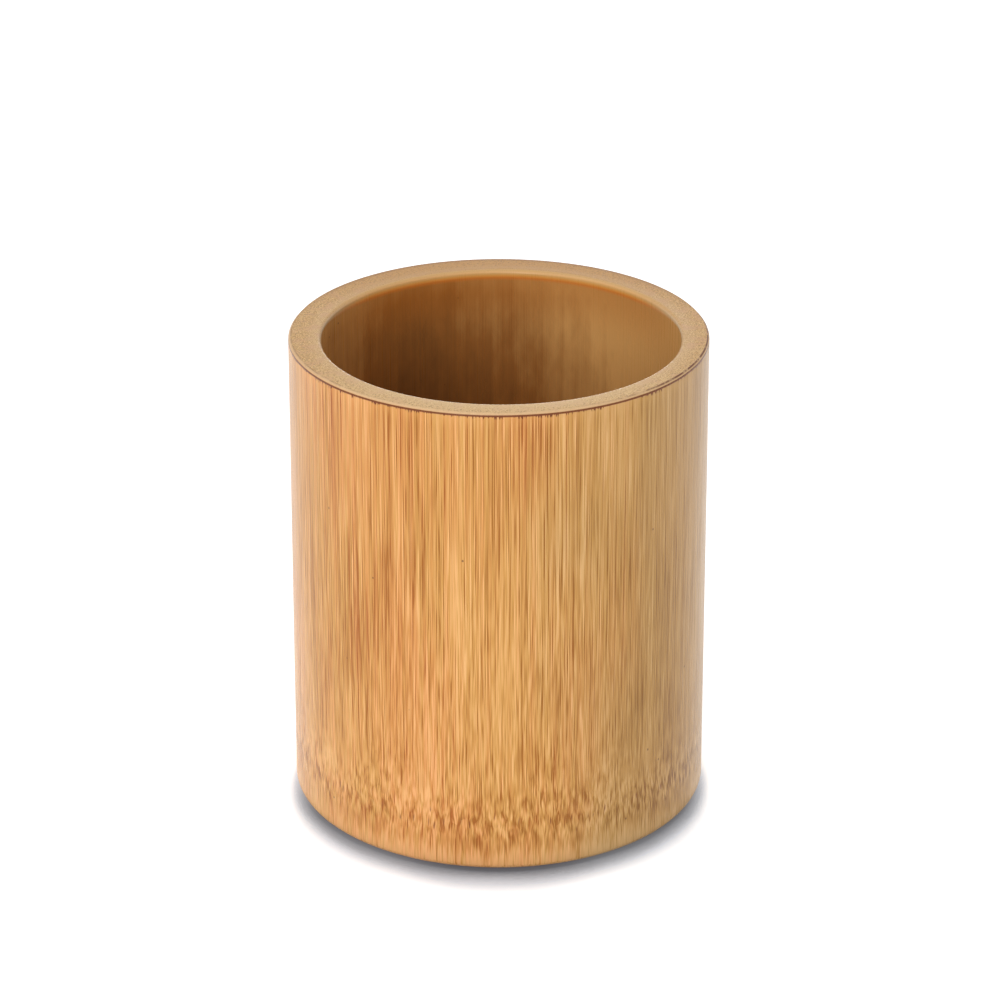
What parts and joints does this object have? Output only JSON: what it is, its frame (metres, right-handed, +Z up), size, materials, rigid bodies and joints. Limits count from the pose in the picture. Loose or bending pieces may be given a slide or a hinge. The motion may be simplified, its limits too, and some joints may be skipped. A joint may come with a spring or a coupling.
{
  "type": "pen holder cup",
  "caption": "Straight round bamboo cup with a thick sanded rim and its own node as a floor, on a felt base; holds pens upright.",
  "frame": {"origin": "centre of the resting face, on the axis of the cup's outside", "axes": "+Z up along the cup's axis, +Y away from the viewer who faces the cup, +X to the viewer's right"},
  "size_m": [0.0864, 0.0864, 0.1004],
  "materials": {
    "bamboo_culm": "sanded, thin satin oil",
    "bamboo_node": "raw, scraped smooth",
    "bamboo_board": "sanded laminated strips",
    "felt": "pressed wool felt"
  },
  "bodies": {
    "root": {"culm_wall": "bamboo_culm", "node_diaphragm": "bamboo_node", "base_disc": "bamboo_board", "felt_pad": "felt"}
  },
  "joints": []
}
